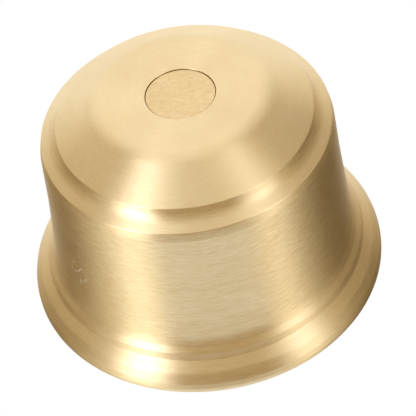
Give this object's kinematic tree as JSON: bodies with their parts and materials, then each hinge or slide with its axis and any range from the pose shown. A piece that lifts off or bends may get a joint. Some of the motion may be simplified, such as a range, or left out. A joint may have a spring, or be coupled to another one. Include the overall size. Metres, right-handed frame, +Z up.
{
  "type": "water pressure regulator",
  "caption": "Bell-shaped brass water pressure regulator: a smooth flanged bonnet over a spring-loaded diaphragm valve, with threaded ports in its flat underside.",
  "frame": {"origin": "centre of the underside, on the plane that the flange and the body rest on", "axes": "+Z up along the bell's axis; +X towards the outlet port, -X towards the inlet port"},
  "size_m": [0.064, 0.064, 0.0415],
  "materials": {
    "brass_satin": "satin, finely brushed in circles around the axis",
    "brass_satin_disc": "satin, brushed straight across",
    "brass_machined": "turned and milled, semi-bright",
    "steel_stainless": "bright",
    "steel_spring": "drawn wire, lightly oiled",
    "steel_zinc": "zinc-plated pressing",
    "rubber_black": "matt",
    "rubber_diaphragm": "matt, fabric-reinforced",
    "plastic_white": "natural acetal"
  },
  "bodies": {
    "base": {"base_body": "brass_machined", "valve_seat": "brass_machined", "valve_seat_ring": "rubber_black", "bottom_plug": "brass_machined", "bottom_plug_ring": "rubber_black", "body_ring": "rubber_black", "inlet_strainer": "steel_stainless", "strainer_clip": "steel_stainless", "slip_ring": "plastic_white", "diaphragm": "rubber_diaphragm", "range_spring": "steel_spring", "return_spring": "steel_stainless"},
    "bell": {"bell_housing": "brass_satin"},
    "top_plug": {"top_plug": "brass_satin_disc", "top_plug_ring": "rubber_black"},
    "spring_cap": {"spring_cap": "steel_zinc", "thrust_ball": "steel_stainless"},
    "adjusting_screw": {"adjusting_screw": "brass_machined"},
    "stem": {"valve_stem": "steel_stainless", "poppet_holder": "brass_machined", "seat_disc": "rubber_black", "poppet_nut": "steel_stainless", "diaphragm_button": "brass_machined", "diaphragm_plate": "steel_zinc", "lock_washer": "steel_stainless", "stem_nut": "steel_stainless"}
  },
  "joints": [
    {"name": "bell_lift", "type": "slide", "parent": "base", "child": "bell", "axis": [0, 0, 1], "range_m": [0, 0.045]},
    {"name": "plug_pull", "type": "slide", "parent": "bell", "child": "top_plug", "axis": [0, 0, 1], "range_m": [0, 0.012]},
    {"name": "screw_advance", "type": "slide", "parent": "bell", "child": "spring_cap", "axis": [0, 0, -1], "range_m": [0, 0.00313], "deforming": ["range_spring"]},
    {"name": "screw_turn", "type": "hinge", "parent": "spring_cap", "child": "adjusting_screw", "pos_m": [0, 0, 0.034], "axis": [0, 0, -1], "range_deg": [0, 900]},
    {"name": "stem_slide", "type": "slide", "parent": "base", "child": "stem", "axis": [0, 0, 1], "range_m": [0, 0.00115], "stiffness_N_per_m": 2000, "springref_m": -0.001, "deforming": ["range_spring", "return_spring", "diaphragm"]}
  ],
  "couplings": [
    {"joint": "screw_turn", "follows": "screw_advance", "rad_per_m": 5026.5}
  ]
}
